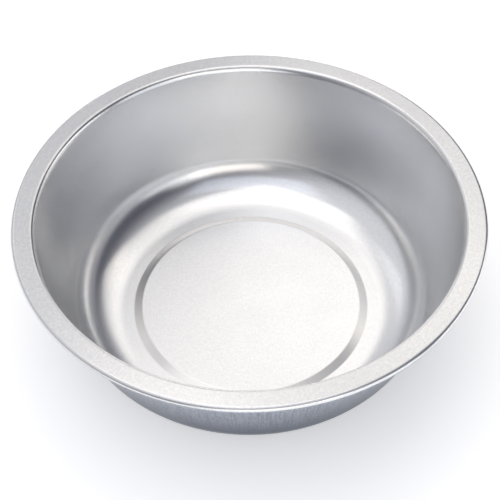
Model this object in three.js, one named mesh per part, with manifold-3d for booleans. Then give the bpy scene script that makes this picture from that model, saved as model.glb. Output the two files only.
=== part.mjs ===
// Washing basin in drawn aluminium. One sheet forms the floor, the wall and the flange, and the flange's
// edge is rolled round a steel wire. Millimetres, +Z up, with the origin on the basin's axis at the height
// of the surface that it stands on.

import * as THREE from 'three';
import { mergeVertices } from 'three/addons/utils/BufferGeometryUtils.js';
import Module from 'manifold-3d';

// Driving dimensions
const RIM_DIAMETER = 340; // over the rolled edge
const HEIGHT = 106; // from the standing surface to the flange's upper face
const SHEET = 1; // thickness of the drawn sheet
const FLANGE_WIDTH = 13.5; // from the end of the rim bend to the outermost point of the rolled edge
const RIM_BEND = 2; // inside bend radius where the flange begins
const RIM_FLARE = 9; // inside radius of the gentler turn between the wall and that bend
const FLARE_TURN = 20; // degrees that the sheet turns on that radius
const WALL_TAPER = 13.8; // degrees that the wall leans out from upright
const CORNER_RADIUS = 40; // inside radius of the corner that rises from the floor
const CORNER_TURN = 56; // degrees that the corner turns on that radius
const WALL_BEND = 24; // inside radius of the rest of the turn, up to the wall
const FOOT_WIDTH = 7.6; // width of the flat ring that the basin stands on
const STEP_RUN = 6.6; // width of the slope between the foot ring and the raised disc
const STEP_RISE = 2; // height of the raised disc above the foot ring
const STEP_BEND = 1; // inside bend radius at both ends of that slope
const WIRE_DIAMETER = 3; // steel wire inside the rolled edge
const WIRE_CLEARANCE = 0.25; // between the wire and the sheet, all the way round
const WIRE_END_GAP = 1; // between the two ends of the wire
const CURL_TURN = 290; // degrees that the edge is rolled round the wire

// Finishes
const SATIN_ALUMINIUM = { color: 0xc9cbcd, roughness: 0.3, metalness: 1 };
const STEEL_WIRE = { color: 0x8d9195, roughness: 0.4, metalness: 1 };

// Facets
const AROUND = 64; // steps around the axis
const CHORD_ERROR = 0.1; // most that a straight facet departs from a bend
const FEWEST_FACETS = 2; // on a bend too small for the chord error to matter
const WIRE_SIDES = 10; // steps around the wire's section
const MERGE_DISTANCE = 1e-4; // corners nearer than this are one corner

// Sizes that follow from the driving dimensions
const wallSlope = THREE.MathUtils.degToRad(90 - WALL_TAPER);
const cornerTurn = THREE.MathUtils.degToRad(CORNER_TURN);
const flareTurn = THREE.MathUtils.degToRad(FLARE_TURN);
const flareSlope = wallSlope - flareTurn;
const curlTurn = THREE.MathUtils.degToRad(CURL_TURN);
const curlInside = WIRE_DIAMETER / 2 + WIRE_CLEARANCE;
const beadRadius = curlInside + SHEET;
const beadCentre = new THREE.Vector2(RIM_DIAMETER / 2 - beadRadius, HEIGHT - beadRadius);

// How far the corner and the bend into the wall go outwards and up
const cornerRun = CORNER_RADIUS * Math.sin(cornerTurn);
const cornerRise = CORNER_RADIUS * (1 - Math.cos(cornerTurn));
const wallBendRun = WALL_BEND * (Math.sin(wallSlope) - Math.sin(cornerTurn));
const wallBendRise = WALL_BEND * (Math.cos(cornerTurn) - Math.cos(wallSlope));

// The same for the two turns at the rim, where the face that is followed lies outside the bends
const flareRun = (RIM_FLARE + SHEET) * (Math.sin(wallSlope) - Math.sin(flareSlope));
const flareRise = (RIM_FLARE + SHEET) * (Math.cos(flareSlope) - Math.cos(wallSlope));
const rimBendRun = (RIM_BEND + SHEET) * Math.sin(flareSlope);
const rimBendRise = (RIM_BEND + SHEET) * (1 - Math.cos(flareSlope));

// Where the straight wall starts and ends on its inner face. The rim places its upper end, and the taper
// then carries it down and in to the bend.
const wallTop = new THREE.Vector2(
  RIM_DIAMETER / 2 - FLANGE_WIDTH - rimBendRun - flareRun,
  HEIGHT - rimBendRise - flareRise,
);
const wallFootHeight = SHEET + cornerRise + wallBendRise;
const wallLength = (wallTop.y - wallFootHeight) / Math.sin(wallSlope);
const wallFootRadius = wallTop.x - wallLength * Math.cos(wallSlope);

// The floor takes what the corner leaves, from the outside in: foot ring, slope and raised disc
const footOuterRadius = wallFootRadius - wallBendRun - cornerRun;
const discRadius = footOuterRadius - FOOT_WIDTH - STEP_RUN;

// The slope is the straight line that touches both of its bends, which lie on opposite sides of it
const bendsAcross = STEP_BEND + SHEET + STEP_BEND;
const bendOffset = new THREE.Vector2(STEP_RUN, bendsAcross - STEP_RISE);
const stepSlope = Math.asin(bendsAcross / bendOffset.length()) - Math.atan2(bendOffset.y, bendOffset.x);
const stepLength = Math.sqrt(bendOffset.lengthSq() - bendsAcross ** 2);

const wasm = await Module();
wasm.setup();

// The bent sheet in the half plane of radius and height. It is walked along its upper face, starting level
// and outwards, and both of its faces are kept.
class SheetPath {
  constructor(radius, height) {
    this.place = new THREE.Vector2(radius, height);
    this.heading = 0;
    this.upper = [];
    this.lower = [];
    this.keepFaces();
  }

  // Unit vector from the lower face to the upper one
  acrossSheet() {
    return new THREE.Vector2(-Math.sin(this.heading), Math.cos(this.heading));
  }

  keepFaces() {
    this.upper.push(this.place.clone());
    this.lower.push(this.place.clone().addScaledVector(this.acrossSheet(), -SHEET));
  }

  straight(length) {
    const along = new THREE.Vector2(Math.cos(this.heading), Math.sin(this.heading));
    this.place.addScaledVector(along, length);
    this.keepFaces();
  }

  // A positive turn bends the sheet upwards and a negative one downwards
  bend(turn, insideRadius) {
    const radius = turn > 0 ? insideRadius : -(insideRadius + SHEET);
    const centre = this.place.clone().addScaledVector(this.acrossSheet(), radius);
    const facetTurn = 2 * Math.acos(1 - CHORD_ERROR / Math.abs(radius));
    const facets = Math.max(FEWEST_FACETS, Math.ceil(Math.abs(turn) / facetTurn));
    const startHeading = this.heading;
    for (let facet = 1; facet <= facets; facet++) {
      this.heading = startHeading + (turn * facet) / facets;
      this.place = centre.clone().addScaledVector(this.acrossSheet(), -radius);
      this.keepFaces();
    }
  }
}

// Keep each corner once, so that neighbouring facets share it
function welded(geometry) {
  geometry.deleteAttribute('normal');
  geometry.deleteAttribute('uv');
  return mergeVertices(geometry, MERGE_DISTANCE);
}

// Turn an outline of radius and height about the upright axis
function turned(outline) {
  return welded(new THREE.LatheGeometry(outline, AROUND).rotateX(Math.PI / 2));
}

// The drawn sheet: raised disc, slope, foot ring, corner, wall, flange and rolled edge
function basinShell() {
  const sheet = new SheetPath(0, SHEET + STEP_RISE);
  sheet.straight(discRadius);
  sheet.bend(-stepSlope, STEP_BEND);
  sheet.straight(stepLength);
  sheet.bend(stepSlope, STEP_BEND);
  sheet.straight(FOOT_WIDTH);
  sheet.bend(cornerTurn, CORNER_RADIUS);
  sheet.bend(wallSlope - cornerTurn, WALL_BEND);
  sheet.straight(wallLength);
  sheet.bend(-flareTurn, RIM_FLARE);
  sheet.bend(-flareSlope, RIM_BEND);
  sheet.straight(FLANGE_WIDTH - beadRadius);
  sheet.bend(-curlTurn, curlInside);
  return turned([...sheet.lower, ...sheet.upper.reverse()]);
}

function solidOf(geometry) {
  return new wasm.Manifold(
    new wasm.Mesh({
      numProp: 3,
      vertProperties: new Float32Array(geometry.attributes.position.array),
      triVerts: new Uint32Array(geometry.index.array),
    }),
  );
}

function geometryOf(solid) {
  const mesh = solid.getMesh();
  return new THREE.BufferGeometry()
    .setAttribute('position', new THREE.BufferAttribute(mesh.vertProperties, 3))
    .setIndex(new THREE.BufferAttribute(mesh.triVerts, 1));
}

// The wire is bent into a ring whose two ends nearly meet at the back of the basin. The block that parts
// them is twice as thick as the wire, so that it passes right through it.
function rimWire() {
  const section = [];
  for (let side = 0; side <= WIRE_SIDES; side++) {
    const angle = (2 * Math.PI * side) / WIRE_SIDES;
    const spoke = new THREE.Vector2(Math.cos(angle), Math.sin(angle));
    section.push(spoke.multiplyScalar(WIRE_DIAMETER / 2).add(beadCentre));
  }
  const block = new THREE.BoxGeometry(WIRE_END_GAP, 2 * WIRE_DIAMETER, 2 * WIRE_DIAMETER);
  block.translate(0, beadCentre.x, beadCentre.y);
  return geometryOf(solidOf(turned(section)).subtract(solidOf(welded(block))));
}

function piece(name, geometry, finish) {
  const mesh = new THREE.Mesh(geometry, new THREE.MeshStandardMaterial(finish));
  mesh.name = name;
  return mesh;
}

const basin = new THREE.Group();
basin.add(piece('basin_shell', basinShell(), SATIN_ALUMINIUM));
basin.add(piece('rim_wire', rimWire(), STEEL_WIRE));

export default basin;
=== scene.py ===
# %% [markdown]
# # A washing basin drawn from aluminium sheet
#
# A press has drawn one disc of aluminium into a bowl: a floor with a raised disc, a wall that leans out, a
# flat flange, and an edge that is rolled round a steel wire. All of it is turned about one upright axis, so
# this lesson is about one outline, one lathe made with Geometry Nodes, and a bare metal that lives from what
# it mirrors.

# %% Load the frame
import math

import bmesh
import bpy
from mathutils import Matrix, Vector


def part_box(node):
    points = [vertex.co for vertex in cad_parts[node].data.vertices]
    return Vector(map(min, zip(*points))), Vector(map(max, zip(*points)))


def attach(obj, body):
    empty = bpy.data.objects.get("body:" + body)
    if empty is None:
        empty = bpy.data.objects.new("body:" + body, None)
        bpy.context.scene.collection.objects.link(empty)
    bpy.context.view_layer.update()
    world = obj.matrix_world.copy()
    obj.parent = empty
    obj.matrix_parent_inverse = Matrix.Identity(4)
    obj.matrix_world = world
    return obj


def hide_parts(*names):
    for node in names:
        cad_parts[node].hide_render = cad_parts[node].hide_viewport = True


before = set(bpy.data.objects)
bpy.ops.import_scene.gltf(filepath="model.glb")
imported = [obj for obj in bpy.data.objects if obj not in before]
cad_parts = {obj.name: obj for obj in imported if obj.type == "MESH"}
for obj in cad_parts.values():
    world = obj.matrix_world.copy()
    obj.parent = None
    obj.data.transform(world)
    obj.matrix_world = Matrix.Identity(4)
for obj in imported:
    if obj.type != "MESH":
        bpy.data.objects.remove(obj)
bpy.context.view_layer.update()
print("frame nodes:", sorted(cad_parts))

# %% [markdown]
# ## Sizes
#
# The rim and the height are read from the frame, so the drawn surface lies where the solids do. The other
# sizes are the ones that a sheet-metal drawing of this basin would give: the sheet, its bends and its flats.
# The corner turns on two radii, and so does the rim, where a gentle flare comes before the tight bend. What
# is left, such as the length of the wall, follows from them.

# %% Sizes of the sheet
MM = 0.001
shell_low, shell_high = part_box("basin_shell")
RIM_RADIUS = (shell_high.x - shell_low.x) / 2
HEIGHT = shell_high.z
SHEET = 1.0 * MM
FLANGE_WIDTH = 13.5 * MM
RIM_BEND = 2.0 * MM
RIM_FLARE = 9.0 * MM
FLARE_TURN = math.radians(20)
WALL_TAPER = math.radians(13.8)
CORNER_RADIUS = 40.0 * MM
CORNER_TURN = math.radians(56)
WALL_BEND = 24.0 * MM
FOOT_WIDTH = 7.6 * MM
STEP_RUN = 6.6 * MM
STEP_RISE = 2.0 * MM
STEP_BEND = 1.0 * MM
WIRE_RADIUS = 1.5 * MM
WIRE_CLEARANCE = 0.25 * MM
WIRE_END_GAP = 1.0 * MM
CURL_TURN = math.radians(290)
POLISHED_CURL = math.radians(82)
print(f"rim {2 * RIM_RADIUS / MM:.1f} mm across, {HEIGHT / MM:.1f} mm high")

# %% Rim and wall
wall_slope = math.pi / 2 - WALL_TAPER
curl_inside = WIRE_RADIUS + WIRE_CLEARANCE
bead_radius = curl_inside + SHEET
flare_slope = wall_slope - FLARE_TURN
rim_bend_run = (RIM_BEND + SHEET) * math.sin(flare_slope)
rim_bend_rise = (RIM_BEND + SHEET) * (1 - math.cos(flare_slope))
flare_run = (RIM_FLARE + SHEET) * (math.sin(wall_slope) - math.sin(flare_slope))
flare_rise = (RIM_FLARE + SHEET) * (math.cos(flare_slope) - math.cos(wall_slope))
wall_top_radius = RIM_RADIUS - FLANGE_WIDTH - rim_bend_run - flare_run
flange_start = HEIGHT - rim_bend_rise
wall_top_height = flange_start - flare_rise
corner_run = CORNER_RADIUS * math.sin(CORNER_TURN)
corner_rise = CORNER_RADIUS * (1 - math.cos(CORNER_TURN))
wall_bend_run = WALL_BEND * (math.sin(wall_slope) - math.sin(CORNER_TURN))
wall_bend_rise = WALL_BEND * (math.cos(CORNER_TURN) - math.cos(wall_slope))
wall_foot_height = SHEET + corner_rise + wall_bend_rise
wall_length = (wall_top_height - wall_foot_height) / math.sin(wall_slope)
wall_foot_radius = wall_top_radius - wall_length * math.cos(wall_slope)
print(f"wall {wall_length / MM:.1f} mm long")

# %% Floor and the slope round its raised disc
foot_outer_radius = wall_foot_radius - wall_bend_run - corner_run
disc_radius = foot_outer_radius - FOOT_WIDTH - STEP_RUN

# The slope is the straight line that touches both of its bends, which lie on opposite sides of it
bends_across = STEP_BEND + SHEET + STEP_BEND
bend_offset = Vector((STEP_RUN, bends_across - STEP_RISE))
step_slope = math.asin(bends_across / bend_offset.length) - math.atan2(bend_offset.y, bend_offset.x)
step_length = math.sqrt(bend_offset.length_squared - bends_across**2)
print(f"raised disc {2 * disc_radius / MM:.1f} mm across, slope {math.degrees(step_slope):.1f} degrees")

# %% [markdown]
# ## The outline of the sheet
#
# A bent sheet is easiest to draw as its maker bends it: walk along one face, go straight for a length, then
# bend by an angle round an inside radius. Each stop keeps a point on both faces, so the sheet has the same
# thickness everywhere. Small facets round the bends keep the mirrored light smooth, and a point close to each
# end of a straight run stops smooth shading from bleeding out of the bend.

# %% A sheet that is bent as it is walked along
CHORD_ERROR = 0.004 * MM
STRAIGHT_STEP = 4.0 * MM
BEND_GUARD = 0.4 * MM


class BentSheet:
    """Both faces of the sheet, in radius and height, walked outwards along the upper face."""

    def __init__(self, radius, height):
        self.place = Vector((radius, height))
        self.heading = 0.0
        self.upper = []
        self.lower = []
        self.keep()

    def across(self):
        return Vector((-math.sin(self.heading), math.cos(self.heading)))

    def keep(self):
        self.upper.append(self.place.copy())
        self.lower.append(self.place - SHEET * self.across())

    def straight(self, length):
        start = self.place.copy()
        along = Vector((math.cos(self.heading), math.sin(self.heading)))
        inner_length = length - 2 * BEND_GUARD
        steps = max(1, math.ceil(inner_length / STRAIGHT_STEP))
        stops = [BEND_GUARD + inner_length * i / steps for i in range(steps + 1)]
        for stop in stops + [length]:
            self.place = start + stop * along
            self.keep()

    def bend(self, turn, inside_radius):
        radius = inside_radius if turn > 0 else -(inside_radius + SHEET)
        centre = self.place + radius * self.across()
        facet_turn = 2 * math.acos(1 - CHORD_ERROR / abs(radius))
        facets = math.ceil(abs(turn) / facet_turn)
        start_heading = self.heading
        for facet in range(1, facets + 1):
            self.heading = start_heading + turn * facet / facets
            self.place = centre - radius * self.across()
            self.keep()


# %% [markdown]
# The walk starts in the middle of the raised disc and goes out and up to the rolled edge. The curl is walked
# in two parts, because the polishing ends on it. The length up to there tells the finish which part of the
# sheet is polished.

# %% Walk along the sheet
sheet = BentSheet(0, SHEET + STEP_RISE)
sheet.straight(disc_radius)
sheet.bend(-step_slope, STEP_BEND)
sheet.straight(step_length)
sheet.bend(step_slope, STEP_BEND)
sheet.straight(FOOT_WIDTH)
sheet.bend(CORNER_TURN, CORNER_RADIUS)
sheet.bend(wall_slope - CORNER_TURN, WALL_BEND)
sheet.straight(wall_length)
sheet.bend(-FLARE_TURN, RIM_FLARE)
sheet.bend(-flare_slope, RIM_BEND)
sheet.straight(FLANGE_WIDTH - bead_radius)
sheet.bend(-POLISHED_CURL, curl_inside)
polished_face = sheet.upper.copy()
polished_length = sum((end - start).length for start, end in zip(polished_face, polished_face[1:]))
sheet.bend(POLISHED_CURL - CURL_TURN, curl_inside)
print(f"polished for {polished_length / MM:.1f} mm from the middle")

# %% Draw the outline
outline_points = sheet.upper + sheet.lower[::-1]
outline_data = bpy.data.curves.new("sheet_outline", "CURVE")
outline_data.dimensions = "3D"
outline_spline = outline_data.splines.new("POLY")
outline_spline.points.add(len(outline_points) - 1)
for point, (radius, height) in zip(outline_spline.points, outline_points):
    point.co = (radius, 0, height, 1)
outline = bpy.data.objects.new("sheet_outline", outline_data)
bpy.context.collection.objects.link(outline)
print(f"outline of {len(outline_points)} points")

# %% [markdown]
# ## One function that adds a node
#
# Geometry and materials are both node trees. A node is added with its settings, and with what goes into its
# sockets: another node's output, which is linked, or a plain value. Sockets go by name, or by place where
# names repeat. A Mix node repeats its names for each kind of value, so the places of its colours are named.

# %% Add a node
MIX_FACTOR = 0
FIRST_COLOUR = 6
SECOND_COLOUR = 7
MIXED_COLOUR = 2


def add(tree, kind, sockets=None, **settings):
    node = tree.nodes.new(kind)
    for name, value in settings.items():
        setattr(node, name, value)
    for name, value in (sockets or {}).items():
        if isinstance(value, bpy.types.NodeSocket):
            tree.links.new(value, node.inputs[name])
        else:
            node.inputs[name].default_value = value
    return node


# %% [markdown]
# ## How a geometry tree starts and ends
#
# A tree gets named inputs for its sizes, so that they can be set from outside. It ends with smooth shading,
# with Realize Instances, so that plain geometry comes out, and with the finish of the piece.


# %% Start and end of a tree
def start_tree(name, inputs):
    tree = bpy.data.node_groups.new(name, "GeometryNodeTree")
    for label, kind in inputs:
        tree.interface.new_socket(label, in_out="INPUT", socket_type=kind)
    tree.interface.new_socket("Geometry", in_out="OUTPUT", socket_type="NodeSocketGeometry")
    return tree


def end_tree(tree, shape, finish):
    smooth = add(tree, "GeometryNodeSetShadeSmooth", {"Geometry": shape})
    realized = add(tree, "GeometryNodeRealizeInstances", {"Geometry": smooth.outputs[0]})
    dressed = add(tree, "GeometryNodeSetMaterial", {"Geometry": realized.outputs[0], "Material": finish})
    add(tree, "NodeGroupOutput", {"Geometry": dressed.outputs[0]})


# %% [markdown]
# ## A lathe in Geometry Nodes
#
# A Screw modifier or the Spin operator could turn the outline too. The tree below does it with a grid: each
# row of the grid takes the radius and height of one point of the outline, and each column its angle. That
# keeps the steps, the waves and the finish as named inputs, and it gives every corner its place along and
# around the sheet. The last column meets the first, so near points are merged, which also closes the two
# poles.


# %% Lay the outline on a grid
def outline_on_grid(tree, given):
    outline_info = add(tree, "GeometryNodeObjectInfo", {"Object": given["Outline"]})
    drawn = outline_info.outputs["Geometry"]
    size = add(tree, "GeometryNodeAttributeDomainSize", {"Geometry": drawn}, component="CURVE")
    rows = size.outputs["Point Count"]
    columns = add(tree, "ShaderNodeMath", {0: given["Steps Around"], 1: 1.0}, operation="ADD").outputs[0]
    grid = add(tree, "GeometryNodeMeshGrid", {"Vertices X": rows, "Vertices Y": columns})

    # Row and column of each grid point
    index = add(tree, "GeometryNodeInputIndex").outputs[0]
    share = add(tree, "ShaderNodeMath", {0: index, 1: columns}, operation="DIVIDE").outputs[0]
    row = add(tree, "ShaderNodeMath", {0: share}, operation="FLOOR").outputs[0]
    column = add(tree, "ShaderNodeMath", {0: index, 1: columns}, operation="MODULO").outputs[0]

    # The point of the outline that the row stands for, its length along the sheet, and the column's angle
    position = add(tree, "GeometryNodeInputPosition").outputs[0]
    drawn_place = add(
        tree,
        "GeometryNodeSampleIndex",
        {"Geometry": drawn, "Value": position, "Index": row},
        data_type="FLOAT_VECTOR",
    ).outputs["Value"]
    spline = add(tree, "GeometryNodeSplineParameter").outputs
    along = add(tree, "GeometryNodeSampleIndex", {"Geometry": drawn, "Value": spline["Length"], "Index": row})
    around = add(tree, "ShaderNodeMath", {0: column, 1: given["Steps Around"]}, operation="DIVIDE").outputs[0]
    angle = add(tree, "ShaderNodeMath", {0: around, 1: math.tau}, operation="MULTIPLY").outputs[0]
    return grid.outputs["Mesh"], drawn_place, along.outputs["Value"], angle


# %% [markdown]
# Two attributes are stored for the finish. "unrolled" is the sheet laid flat, with the way round as a cosine
# and a sine so that it closes up, and the length along the sheet. "as_pressed" is 1 past the polished part.

# %% Turn the grid about the upright axis
MERGE_DISTANCE = 0.001 * MM


def turned_sheet(tree, given):
    grid, drawn_place, along, angle = outline_on_grid(tree, given)
    flat = add(tree, "ShaderNodeSeparateXYZ", {0: drawn_place}).outputs
    cosine = add(tree, "ShaderNodeMath", {0: angle}, operation="COSINE").outputs[0]
    sine = add(tree, "ShaderNodeMath", {0: angle}, operation="SINE").outputs[0]
    x = add(tree, "ShaderNodeMath", {0: flat["X"], 1: cosine}, operation="MULTIPLY").outputs[0]
    y = add(tree, "ShaderNodeMath", {0: flat["X"], 1: sine}, operation="MULTIPLY").outputs[0]
    turned_place = add(tree, "ShaderNodeCombineXYZ", {"X": x, "Y": y, "Z": flat["Z"]}).outputs[0]
    turned = add(tree, "GeometryNodeSetPosition", {"Geometry": grid, "Position": turned_place}).outputs[0]

    unrolled = add(tree, "ShaderNodeCombineXYZ", {"X": cosine, "Y": sine, "Z": along}).outputs[0]
    marked = add(
        tree,
        "GeometryNodeStoreNamedAttribute",
        {"Geometry": turned, "Name": "unrolled", "Value": unrolled},
        data_type="FLOAT_VECTOR",
    ).outputs[0]
    past_polish = add(
        tree,
        "ShaderNodeMath",
        {0: along, 1: given["Polished Length"]},
        operation="GREATER_THAN",
    ).outputs[0]
    sided = add(
        tree,
        "GeometryNodeStoreNamedAttribute",
        {"Geometry": marked, "Name": "as_pressed", "Value": past_polish},
    ).outputs[0]
    closed = add(tree, "GeometryNodeMergeByDistance", {"Geometry": sided, "Distance": MERGE_DISTANCE})
    return closed.outputs[0]


# %% [markdown]
# A sheet this thin is never quite round. Slow waves, well under half a millimetre high, push both of its
# faces the same way. They only push inwards, so the basin stays within its size, and they fade out towards
# the floor, so that it stands flat.


# %% Give the sheet slow waves
def waved_sheet(tree, given, closed):
    position = add(tree, "GeometryNodeInputPosition").outputs[0]
    per_length = add(tree, "ShaderNodeMath", {0: 1.0, 1: given["Wave Length"]}, operation="DIVIDE").outputs[0]
    waves = add(
        tree,
        "ShaderNodeTexNoise",
        {"Vector": position, "Scale": per_length, "Detail": 1.0},
    ).outputs[0]
    upright = add(tree, "ShaderNodeSeparateXYZ", {0: position}).outputs["Z"]
    fade = add(
        tree,
        "ShaderNodeMapRange",
        {"Value": upright, "From Min": given["Flat Below"], "From Max": given["Waved Above"]},
        interpolation_type="SMOOTHSTEP",
    ).outputs[0]
    depth = add(tree, "ShaderNodeMath", {0: waves, 1: fade}, operation="MULTIPLY").outputs[0]
    push = add(tree, "ShaderNodeMath", {0: depth, 1: given["Wave Height"]}, operation="MULTIPLY").outputs[0]
    level = add(tree, "ShaderNodeVectorMath", {0: position, 1: (-1, -1, 0)}, operation="MULTIPLY").outputs[0]
    inwards = add(tree, "ShaderNodeVectorMath", {0: level}, operation="NORMALIZE").outputs[0]
    offset = add(tree, "ShaderNodeVectorMath", {0: inwards, "Scale": push}, operation="SCALE").outputs[0]
    waved = add(tree, "GeometryNodeSetPosition", {"Geometry": closed, "Offset": offset})
    return waved.outputs[0]


# %% Build the lathe tree
def lathe_tree():
    tree = start_tree(
        "turn_on_a_lathe",
        (
            ("Outline", "NodeSocketObject"),
            ("Steps Around", "NodeSocketInt"),
            ("Wave Height", "NodeSocketFloat"),
            ("Wave Length", "NodeSocketFloat"),
            ("Flat Below", "NodeSocketFloat"),
            ("Waved Above", "NodeSocketFloat"),
            ("Polished Length", "NodeSocketFloat"),
            ("Finish", "NodeSocketMaterial"),
        ),
    )
    given = add(tree, "NodeGroupInput").outputs
    closed = turned_sheet(tree, given)
    end_tree(tree, waved_sheet(tree, given, closed), given["Finish"])
    return tree


# %% [markdown]
# ## The wire in the edge
#
# Rolling the edge round a steel wire makes the rim stiff and leaves no sharp edge to hold. The wire is bent
# into a ring whose ends nearly meet at the back, and it shows only from below, where the roll doesn't quite
# close. A curve with a bevel would do, and Curve to Mesh is the same idea inside a tree, with the two ends
# filled.

# %% Build the wire tree
RING_POINTS = 256
WIRE_SIDES = 16
WIRE_ENDS_AT = math.pi / 2


def wire_tree():
    tree = start_tree(
        "bend_a_wire",
        (
            ("Ring Radius", "NodeSocketFloat"),
            ("Ring Height", "NodeSocketFloat"),
            ("Wire Radius", "NodeSocketFloat"),
            ("End Gap", "NodeSocketFloat"),
            ("Finish", "NodeSocketMaterial"),
        ),
    )
    given = add(tree, "NodeGroupInput").outputs

    # The gap as an angle. Half of it lies on each side of the place where the ends meet.
    gap = add(
        tree,
        "ShaderNodeMath",
        {0: given["End Gap"], 1: given["Ring Radius"]},
        operation="DIVIDE",
    ).outputs[0]
    start = add(
        tree,
        "ShaderNodeMath",
        {0: gap, 1: 0.5, 2: WIRE_ENDS_AT},
        operation="MULTIPLY_ADD",
    ).outputs[0]
    sweep = add(tree, "ShaderNodeMath", {0: math.tau, 1: gap}, operation="SUBTRACT").outputs[0]
    ring = add(
        tree,
        "GeometryNodeCurveArc",
        {
            "Resolution": RING_POINTS,
            "Radius": given["Ring Radius"],
            "Start Angle": start,
            "Sweep Angle": sweep,
        },
    ).outputs["Curve"]
    section = add(
        tree,
        "GeometryNodeCurvePrimitiveCircle",
        {"Resolution": WIRE_SIDES, "Radius": given["Wire Radius"]},
    ).outputs["Curve"]
    wire = add(
        tree,
        "GeometryNodeCurveToMesh",
        {"Curve": ring, "Profile Curve": section, "Fill Caps": True},
    ).outputs[0]
    lift = add(tree, "ShaderNodeCombineXYZ", {"Z": given["Ring Height"]}).outputs[0]
    lifted = add(tree, "GeometryNodeSetPosition", {"Geometry": wire, "Offset": lift}).outputs[0]
    end_tree(tree, lifted, given["Finish"])
    return tree


# %% [markdown]
# ## From a tree to a plain mesh
#
# The tree runs as a modifier on an empty mesh. Its inputs are set by their identifiers before the object is
# first evaluated. The evaluated result is then copied to a plain mesh, so that nothing live is left on the
# piece. A closed piece has no open edges, and its volume is positive when its faces point outwards.

# %% Run a tree
CUBIC_CM = 1e-6


def made_by(tree, name, values):
    piece = bpy.data.objects.new(name, bpy.data.meshes.new(name + "_seed"))
    bpy.context.collection.objects.link(piece)
    modifier = piece.modifiers.new("nodes", "NODES")
    modifier.node_group = tree
    for item in tree.interface.items_tree:
        if item.in_out == "INPUT":
            modifier[item.identifier] = values[item.name]
    depsgraph = bpy.context.evaluated_depsgraph_get()
    mesh = bpy.data.meshes.new_from_object(piece.evaluated_get(depsgraph), depsgraph=depsgraph)
    piece.modifiers.remove(modifier)
    piece.data = mesh
    mesh.name = name
    probe = bmesh.new()
    probe.from_mesh(mesh)
    open_edges = sum(1 for edge in probe.edges if not edge.is_manifold)
    volume = probe.calc_volume(signed=True) / CUBIC_CM
    probe.free()
    triangles = sum(len(face.vertices) - 2 for face in mesh.polygons)
    print(f"{name}: {triangles} triangles, {open_edges} open edges, {volume:.1f} cm3")
    return piece


# %% [markdown]
# ## Colours and bare metals
#
# Colours are written as they look on a screen and turned to the linear values that Blender mixes. Both metals
# start from a shader that is all metal.


# %% Linear colour and a bare metal
def linear(hex_colour):
    channels = [int(hex_colour[i : i + 2], 16) / 255 for i in (1, 3, 5)]
    return [c / 12.92 if c <= 0.04045 else ((c + 0.055) / 1.055) ** 2.4 for c in channels] + [1.0]


def bare_metal(name):
    material = bpy.data.materials.new(name)
    material.use_nodes = True
    shader = material.node_tree.nodes["Principled BSDF"]
    shader.inputs["Metallic"].default_value = 1.0
    return material, material.node_tree, shader


# %% [markdown]
# ## Satin aluminium
#
# Aluminium has hardly any colour of its own: it mirrors about nine tenths of the light, and what one sees is
# the room, blurred by a fine satin. The inside was polished while it turned, which leaves a grain and very
# faint circles. The flange is a little duller from use, the slope round the raised disc is painted a little
# greyer as painted shade, and the corner, where the press rubs hardest, is smoother than the rest. The
# outside is left as it came from the press, duller, with hairlines that run up the wall. Its colour is also
# painted darker and bluer as a painted reflection of a dim room, and darker still towards the foot as painted
# shadow.
#
# Circles and hairlines are noise that is stretched a lot. Its coordinates are the turned sheet laid flat,
# which the lathe has stored, so the lines follow the surface and close up behind it. The real lines are a
# tenth of a millimetre wide, too fine to show here, so they are drawn about a millimetre wide.

# %% Lines of the press and of the polishing
WALL_RADIUS = 145.0 * MM
HAIRLINE_WIDTH = 1.1 * MM
HAIRLINE_LENGTH = 22.0 * MM
POLISH_WIDTH = 0.8 * MM
POLISH_LENGTH = 60.0 * MM
CIRCLES_LEAST = 0.4
CIRCLES_MOST = 0.6


def drawn_lines(tree, as_pressed):
    laid_flat = add(tree, "ShaderNodeAttribute", attribute_name="unrolled").outputs["Vector"]
    turns = WALL_RADIUS / HAIRLINE_WIDTH
    stretch = (turns, turns, 1 / HAIRLINE_LENGTH)
    upwards = add(tree, "ShaderNodeVectorMath", {0: laid_flat, 1: stretch}, operation="MULTIPLY").outputs[0]
    hairlines = add(tree, "ShaderNodeTexNoise", {"Vector": upwards, "Scale": 1.0, "Detail": 2.0}).outputs[0]
    turns = WALL_RADIUS / POLISH_LENGTH
    stretch = (turns, turns, 1 / POLISH_WIDTH)
    around = add(tree, "ShaderNodeVectorMath", {0: laid_flat, 1: stretch}, operation="MULTIPLY").outputs[0]
    circles = add(tree, "ShaderNodeTexNoise", {"Vector": around, "Scale": 1.0, "Detail": 2.0}).outputs[0]
    faint = add(
        tree,
        "ShaderNodeMapRange",
        {"Value": circles, "To Min": CIRCLES_LEAST, "To Max": CIRCLES_MOST},
    ).outputs[0]
    return add(tree, "ShaderNodeMix", {"Factor": as_pressed, "A": faint, "B": hairlines}).outputs[0]


# %% Shade of the satin, from its lines and its grain
GRAIN_SIZE = 1.3 * MM
GRAIN_SHARE = 0.5
DARKEST_AT = 0.35
LIGHTEST_AT = 0.65


def satin_shade(tree, place, lines):
    grain = add(
        tree,
        "ShaderNodeTexNoise",
        {"Vector": place, "Scale": 1 / GRAIN_SIZE, "Detail": 1.0},
    ).outputs[0]
    mottle = add(tree, "ShaderNodeMix", {"Factor": GRAIN_SHARE, "A": lines, "B": grain}).outputs[0]
    shade = add(
        tree,
        "ShaderNodeMapRange",
        {"Value": mottle, "From Min": DARKEST_AT, "From Max": LIGHTEST_AT},
    )
    return shade.outputs[0]


# %% [markdown]
# The inside is bright. Its duller flange is found by height, and the slope round the raised disc, painted
# greyer as painted shade, by distance from the axis.

# %% Where the flange and the slope lie
FLANGE_BLEND = 2.0 * MM
SLOPE_BLEND = 1.0 * MM


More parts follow.
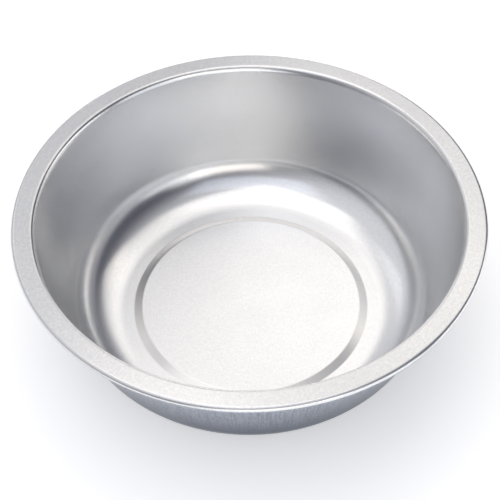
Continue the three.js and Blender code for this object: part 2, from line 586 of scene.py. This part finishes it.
def on_flange(tree, height):
    below = add(
        tree,
        "ShaderNodeMapRange",
        {"Value": height, "From Min": flange_start, "From Max": flange_start - FLANGE_BLEND},
        interpolation_type="SMOOTHSTEP",
    ).outputs[0]
    return add(tree, "ShaderNodeMath", {0: 1.0, 1: below}, operation="SUBTRACT").outputs[0]


# Mask for the painted shade on the slope round the raised disc
def slope_painted_shade(tree, place):
    from_axis = add(tree, "ShaderNodeVectorMath", {0: place, 1: (1, 1, 0)}, operation="MULTIPLY").outputs[0]
    radius = add(tree, "ShaderNodeVectorMath", {0: from_axis}, operation="LENGTH").outputs["Value"]
    slope_foot = disc_radius + STEP_RUN
    past_disc = add(
        tree,
        "ShaderNodeMapRange",
        {"Value": radius, "From Min": disc_radius - SLOPE_BLEND, "From Max": disc_radius + SLOPE_BLEND},
        interpolation_type="SMOOTHSTEP",
    ).outputs[0]
    before_foot = add(
        tree,
        "ShaderNodeMapRange",
        {"Value": radius, "From Min": slope_foot + SLOPE_BLEND, "From Max": slope_foot - SLOPE_BLEND},
        interpolation_type="SMOOTHSTEP",
    ).outputs[0]
    return add(tree, "ShaderNodeMath", {0: past_disc, 1: before_foot}, operation="MULTIPLY").outputs[0]


# %% Colour of the inside
def inside_colour(tree, place, height, shade):
    bright = add(
        tree,
        "ShaderNodeMix",
        {MIX_FACTOR: shade, FIRST_COLOUR: linear("#e5e7e9"), SECOND_COLOUR: linear("#f3f2f0")},
        data_type="RGBA",
    ).outputs[MIXED_COLOUR]
    worn = add(
        tree,
        "ShaderNodeMix",
        {MIX_FACTOR: shade, FIRST_COLOUR: linear("#dadbdd"), SECOND_COLOUR: linear("#e8e8e6")},
        data_type="RGBA",
    ).outputs[MIXED_COLOUR]
    flanged = add(
        tree,
        "ShaderNodeMix",
        {MIX_FACTOR: on_flange(tree, height), FIRST_COLOUR: bright, SECOND_COLOUR: worn},
        data_type="RGBA",
    ).outputs[MIXED_COLOUR]
    # The slope round the raised disc is painted greyer here: painted shade
    inside = add(
        tree,
        "ShaderNodeMix",
        {MIX_FACTOR: slope_painted_shade(tree, place), FIRST_COLOUR: flanged, SECOND_COLOUR: linear("#e3e2e0")},
        data_type="RGBA",
    )
    return inside.outputs[MIXED_COLOUR]


# %% [markdown]
# The outside is a dull blue-grey: duller as it came from the press, and painted darker and bluer as a
# painted reflection of a dim room. It gets darker towards the foot, which is painted shadow. It is mixed by
# height, which follows the wall all round and needs no drawn mask.

# %% Colour of the outside
# Heights over which the painted shadow towards the foot fades out
DARK_BELOW = 15.0 * MM
PLAIN_ABOVE = 70.0 * MM


def outside_colour(tree, height, shade):
    # Painted shadow: the outside is darkened towards the foot
    painted_shade_fade = add(
        tree,
        "ShaderNodeMapRange",
        {"Value": height, "From Min": DARK_BELOW, "From Max": PLAIN_ABOVE},
        interpolation_type="SMOOTHSTEP",
    ).outputs[0]
    # Duller as pressed, and also painted darker and bluer: a painted reflection of a dim room
    pressed = add(
        tree,
        "ShaderNodeMix",
        {MIX_FACTOR: shade, FIRST_COLOUR: linear("#818895"), SECOND_COLOUR: linear("#bac0ca")},
        data_type="RGBA",
    ).outputs[MIXED_COLOUR]
    # The dark blue-grey low on the wall is painted shadow
    outside = add(
        tree,
        "ShaderNodeMix",
        {MIX_FACTOR: painted_shade_fade, FIRST_COLOUR: linear("#4a5261"), SECOND_COLOUR: pressed},
        data_type="RGBA",
    )
    return outside.outputs[MIXED_COLOUR]


# %% [markdown]
# Roughness blurs what the metal mirrors. It is uneven along the lines, and in blotches where the satin is a
# little closer or more open. The corner is found by height, with a soft edge above and below.

# %% Roughness of the satin
SMOOTHEST = 0.20
ROUGHEST = 0.29
BLOTCH_SIZE = 38.0 * MM
BLOTCH_ROUGHNESS = 0.05
CORNER_BURNISH = 0.78
BURNISHED_UP_TO = 11.0 * MM
PLAIN_FROM = 18.0 * MM
BURNISHED_DOWN_TO = 6.0 * MM
PLAIN_DOWN_FROM = 2.0 * MM


def satin_roughness(tree, place, height, lines):
    by_line = add(
        tree,
        "ShaderNodeMapRange",
        {"Value": lines, "To Min": SMOOTHEST, "To Max": ROUGHEST},
    ).outputs[0]
    blotch = add(
        tree,
        "ShaderNodeTexNoise",
        {"Vector": place, "Scale": 1 / BLOTCH_SIZE, "Detail": 4.0},
    ).outputs[0]
    by_blotch = add(
        tree,
        "ShaderNodeMapRange",
        {"Value": blotch, "To Min": -BLOTCH_ROUGHNESS, "To Max": BLOTCH_ROUGHNESS},
    ).outputs[0]
    satin = add(tree, "ShaderNodeMath", {0: by_line, 1: by_blotch}, operation="ADD").outputs[0]
    above = add(
        tree,
        "ShaderNodeMapRange",
        {"Value": height, "From Min": BURNISHED_UP_TO, "From Max": PLAIN_FROM},
        interpolation_type="SMOOTHSTEP",
    ).outputs[0]
    below = add(
        tree,
        "ShaderNodeMapRange",
        {"Value": height, "From Min": BURNISHED_DOWN_TO, "From Max": PLAIN_DOWN_FROM},
        interpolation_type="SMOOTHSTEP",
    ).outputs[0]
    off_corner = add(tree, "ShaderNodeMath", {0: above, 1: below}, operation="ADD").outputs[0]
    burnish = add(tree, "ShaderNodeMapRange", {"Value": off_corner, "To Min": CORNER_BURNISH}).outputs[0]
    return add(tree, "ShaderNodeMath", {0: satin, 1: burnish}, operation="MULTIPLY").outputs[0]


# %% Satin aluminium
def satin_aluminium():
    material, tree, shader = bare_metal("satin_drawn_aluminium")
    as_pressed = add(tree, "ShaderNodeAttribute", attribute_name="as_pressed").outputs["Fac"]
    place = add(tree, "ShaderNodeTexCoord").outputs["Object"]
    height = add(tree, "ShaderNodeSeparateXYZ", {0: place}).outputs["Z"]
    lines = drawn_lines(tree, as_pressed)
    shade = satin_shade(tree, place, lines)
    inside = inside_colour(tree, place, height, shade)
    outside = outside_colour(tree, height, shade)
    colour = add(
        tree,
        "ShaderNodeMix",
        {MIX_FACTOR: as_pressed, FIRST_COLOUR: inside, SECOND_COLOUR: outside},
        data_type="RGBA",
    ).outputs[MIXED_COLOUR]
    tree.links.new(colour, shader.inputs["Base Color"])
    tree.links.new(satin_roughness(tree, place, height, lines), shader.inputs["Roughness"])
    print(f"{material.name}: {len(tree.nodes)} nodes")
    return material


aluminium = satin_aluminium()

# %% [markdown]
# ## Steel wire
#
# The wire is plain drawn steel: darker and greyer than the aluminium, with a dull skin that varies along it.

# %% Steel wire
SKIN_SIZE = 4.0 * MM
WIRE_SMOOTHEST = 0.32
WIRE_ROUGHEST = 0.5


def steel_wire():
    material, tree, shader = bare_metal("drawn_steel_wire")
    place = add(tree, "ShaderNodeTexCoord").outputs["Object"]
    skin = add(
        tree,
        "ShaderNodeTexNoise",
        {"Vector": place, "Scale": 1 / SKIN_SIZE, "Detail": 3.0},
    ).outputs[0]
    colour = add(
        tree,
        "ShaderNodeMix",
        {MIX_FACTOR: skin, FIRST_COLOUR: linear("#7f8388"), SECOND_COLOUR: linear("#9a9da1")},
        data_type="RGBA",
    ).outputs[MIXED_COLOUR]
    tree.links.new(colour, shader.inputs["Base Color"])
    roughness = add(
        tree,
        "ShaderNodeMapRange",
        {"Value": skin, "To Min": WIRE_SMOOTHEST, "To Max": WIRE_ROUGHEST},
    ).outputs[0]
    tree.links.new(roughness, shader.inputs["Roughness"])
    print(f"{material.name}: {len(tree.nodes)} nodes")
    return material


steel = steel_wire()

# %% [markdown]
# ## Make the two pieces
#
# Both trees run now that their finishes exist. Each piece stands for the solid of the same shape in the frame
# and rides on the one body that the basin has.

# %% Turn the shell
STEPS_AROUND = 256
WAVE_HEIGHT = 0.2 * MM
WAVE_LENGTH = 70.0 * MM
FLAT_BELOW = 10.0 * MM
WAVED_ABOVE = 45.0 * MM
shell = made_by(
    lathe_tree(),
    "drawn_shell",
    {
        "Outline": outline,
        "Steps Around": STEPS_AROUND,
        "Wave Height": WAVE_HEIGHT,
        "Wave Length": WAVE_LENGTH,
        "Flat Below": FLAT_BELOW,
        "Waved Above": WAVED_ABOVE,
        "Polished Length": polished_length,
        "Finish": aluminium,
    },
)
bpy.data.objects.remove(outline)
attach(shell, "root")
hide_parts("basin_shell")

# %% Bend the wire
wire = made_by(
    wire_tree(),
    "edge_wire",
    {
        "Ring Radius": RIM_RADIUS - bead_radius,
        "Ring Height": HEIGHT - bead_radius,
        "Wire Radius": WIRE_RADIUS,
        "End Gap": WIRE_END_GAP,
        "Finish": steel,
    },
)
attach(wire, "root")
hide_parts("rim_wire")

# %% [markdown]
# ## Floor
#
# The basin stands on a sheet of white card, large enough to fill the view from any side. It is plain and
# matt, so it keeps the soft shadow. The camera, and the metal that mirrors it, see the card a little lighter
# than the lamps make it. That keeps the background white without more light on the basin. The card lies a
# hair below the foot ring, so that the two faces don't coincide.

# %% White card
CARD_LIFT = 0.42
card = bpy.data.materials.new("white_card")
card.use_nodes = True
card_tree = card.node_tree
card_shader = card_tree.nodes["Principled BSDF"]
card_shader.inputs["Base Color"].default_value = linear("#f6f6f6")
card_shader.inputs["Roughness"].default_value = 0.9
card_shader.inputs["Specular IOR Level"].default_value = 0.2
card_shader.inputs["Emission Color"].default_value = linear("#ffffff")
ray = add(card_tree, "ShaderNodeLightPath").outputs
straight_or_mirrored = add(
    card_tree,
    "ShaderNodeMath",
    {0: ray["Is Camera Ray"], 1: ray["Is Glossy Ray"]},
    operation="ADD",
).outputs[0]
seen = add(
    card_tree,
    "ShaderNodeMath",
    {0: straight_or_mirrored, 1: ray["Is Transmission Ray"]},
    operation="ADD",
    use_clamp=True,
).outputs[0]
lift = add(card_tree, "ShaderNodeMath", {0: seen, 1: CARD_LIFT}, operation="MULTIPLY").outputs[0]
card_tree.links.new(lift, card_shader.inputs["Emission Strength"])
print(f"{card.name}: {len(card_tree.nodes)} nodes")

# %% Lay the card
FLOOR_HALF = 4.0
CARD_DROP = 0.05 * MM
corner_signs = ((-1, -1), (1, -1), (1, 1), (-1, 1))
floor_corners = [(x * FLOOR_HALF, y * FLOOR_HALF, -CARD_DROP) for x, y in corner_signs]
floor_mesh = bpy.data.meshes.new("floor")
floor_mesh.from_pydata(floor_corners, [], [(0, 1, 2, 3)])
floor_mesh.materials.append(card)
floor = bpy.data.objects.new("floor", floor_mesh)
bpy.context.collection.objects.link(floor)
print("floor", 2 * FLOOR_HALF, "m square")

# %% [markdown]
# ## Studio light
#
# Bare metal shows its surroundings, so the light is built as a room. The world is a dim room that gets
# brighter overhead and to the left. Soft panels stand round the basin: the ones above and behind brighten its
# floor and flange, the ones in front make the light lines in the corner and on the back wall, and the low
# ones draw the edges of the rim. Each panel is placed by the direction that it shines from, and all of them
# face the basin.

# %% Room
BRIGHTEST_WAY = (-0.52, 0.21, 0.83)
world = bpy.data.worlds.new("studio")
bpy.context.scene.world = world
world.use_nodes = True
room = world.node_tree
direction = add(room, "ShaderNodeTexCoord").outputs["Generated"]
lean = add(
    room,
    "ShaderNodeVectorMath",
    {0: direction, 1: BRIGHTEST_WAY},
    operation="DOT_PRODUCT",
).outputs["Value"]
rise = add(room, "ShaderNodeMapRange", {"Value": lean}, interpolation_type="SMOOTHSTEP").outputs[0]
room_colour = add(
    room,
    "ShaderNodeMix",
    {MIX_FACTOR: rise, FIRST_COLOUR: linear("#555660"), SECOND_COLOUR: linear("#e1e1e6")},
    data_type="RGBA",
).outputs[MIXED_COLOUR]
room.links.new(room_colour, room.nodes["Background"].inputs["Color"])
print(f"room: {len(room.nodes)} nodes")

# %% Panels
PANEL_DISTANCE = 1.6
AIM = Vector((0, 0, HEIGHT / 2))
PANELS = (
    # name, azimuth and elevation in degrees, width and height in metres, watts, colour
    ("overhead", 135, 81, 1.1, 1.1, 2.35, "#fffaf4"),
    ("high_back", 72, 64, 1.2, 0.8, 0.9, "#fff6e8"),
    ("middle_back", 62, 48, 1.2, 0.5, 1.0, "#fff9f0"),
    ("middle_left_back", 130, 42, 0.5, 0.6, 0.24, "#ffffff"),
    ("high_front", 265, 64, 1.6, 0.8, 1.4, "#e8eeff"),
    ("middle_front", 282, 24, 1.2, 0.5, 2.7, "#fff8f0"),
    ("middle_right_front", 308, 30, 0.6, 0.4, 0.45, "#ffffff"),
    ("low_front", 270, 8, 1.2, 0.4, 2.4, "#f6fbff"),
    ("low_right_front", 315, 12, 1.2, 0.8, 3.0, "#f8fcff"),
    ("low_right", 5, 9, 1.2, 0.5, 2.8, "#fdfcff"),
    ("low_back", 90, 12, 1.2, 0.5, 3.0, "#fff8f4"),
)
for name, azimuth, elevation, width, tall, watts, colour in PANELS:
    lamp = bpy.data.lights.new(name, "AREA")
    lamp.shape = "RECTANGLE"
    lamp.size = width
    lamp.size_y = tall
    lamp.energy = watts
    lamp.color = linear(colour)[:3]
    panel = bpy.data.objects.new(name, lamp)
    bpy.context.collection.objects.link(panel)
    turn = Matrix.Rotation(math.radians(azimuth), 3, "Z") @ Matrix.Rotation(-math.radians(elevation), 3, "Y")
    outwards = turn @ Vector((1, 0, 0))
    panel.location = AIM + PANEL_DISTANCE * outwards
    panel.rotation_euler = outwards.to_track_quat("Z", "Y").to_euler()
print(len(PANELS), "panels")

# %% [markdown]
# ## Camera
#
# The camera looks down into the basin with a short telephoto lens. Its place, pitch and slight roll come from
# fitting the rim, the floor ring and the outline under the rim.

# %% Camera
SENSOR_WIDTH = 36.0
LENS = 97.6
CAMERA_PLACE = Vector((0.1, -652.0, 821.2)) * MM
CAMERA_PITCH = math.radians(49.28)
CAMERA_ROLL = math.radians(1.06)
camera_data = bpy.data.cameras.new("camera")
camera_data.sensor_width = SENSOR_WIDTH
camera_data.lens = LENS
camera = bpy.data.objects.new("camera", camera_data)
bpy.context.collection.objects.link(camera)
aim = Matrix.Rotation(math.pi / 2 - CAMERA_PITCH, 4, "X") @ Matrix.Rotation(-CAMERA_ROLL, 4, "Z")
camera.matrix_world = Matrix.Translation(CAMERA_PLACE) @ aim
bpy.context.scene.camera = camera
bpy.context.scene.view_settings.view_transform = "Standard"
print(f"camera {camera.location.length:.3f} m from the origin")
